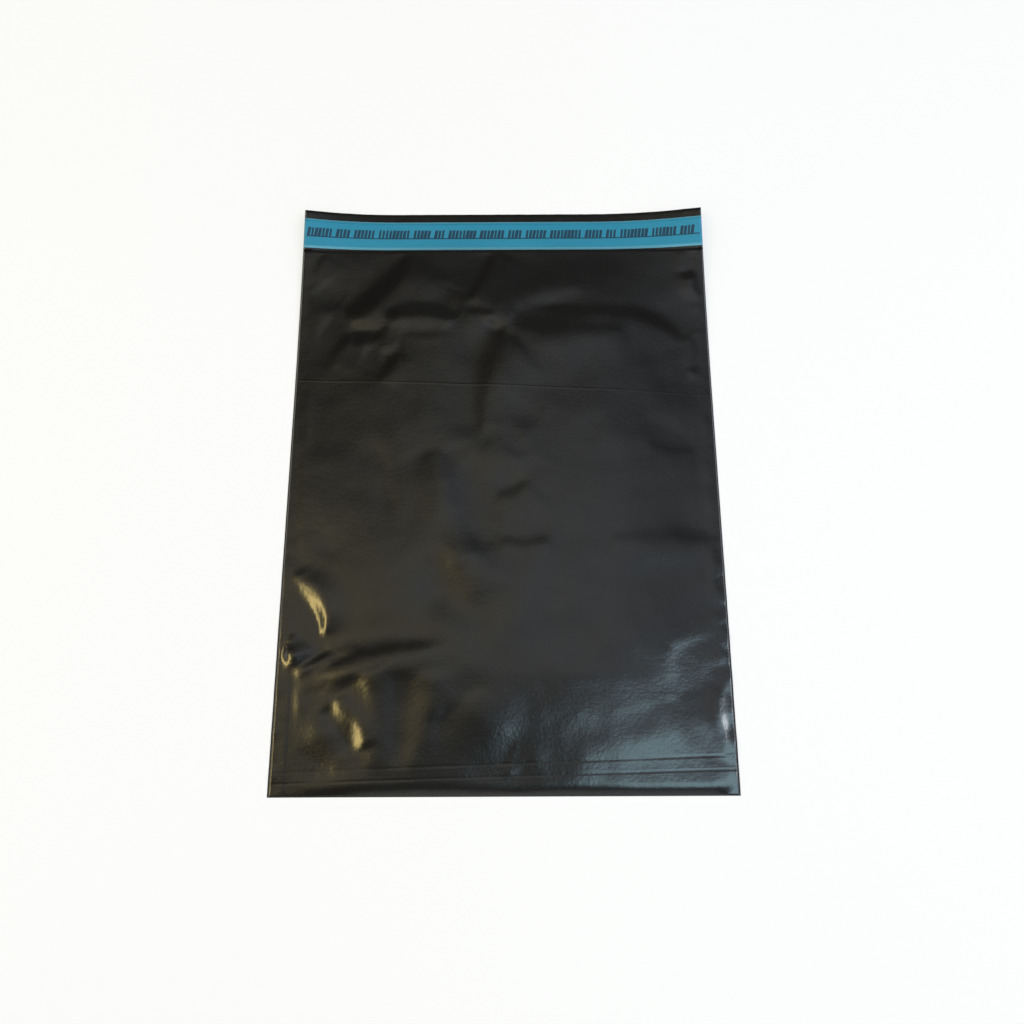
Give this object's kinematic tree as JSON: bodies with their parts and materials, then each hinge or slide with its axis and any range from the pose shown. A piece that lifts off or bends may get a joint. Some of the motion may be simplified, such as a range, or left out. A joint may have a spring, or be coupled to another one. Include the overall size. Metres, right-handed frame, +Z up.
{
  "type": "poly mailer bag",
  "caption": "Flat black film mailing bag, open at the mouth, with a peel-off blue liner over the adhesive on its closing lip.",
  "frame": {"origin": "on the table under the middle of the bag's outline", "axes": "+X across the width, +Y along the length towards the lip, +Z up from the table through the back wall to the front wall"},
  "size_m": [0.305, 0.442, 0.0137],
  "materials": {
    "black_film": "satin",
    "adhesive": "gloss",
    "blue_liner": "satin",
    "navy_ink": "matte"
  },
  "bodies": {
    "root": {"film_bag": "black_film", "adhesive_strip": "adhesive", "release_liner": "blue_liner", "liner_print": "navy_ink"}
  },
  "joints": []
}
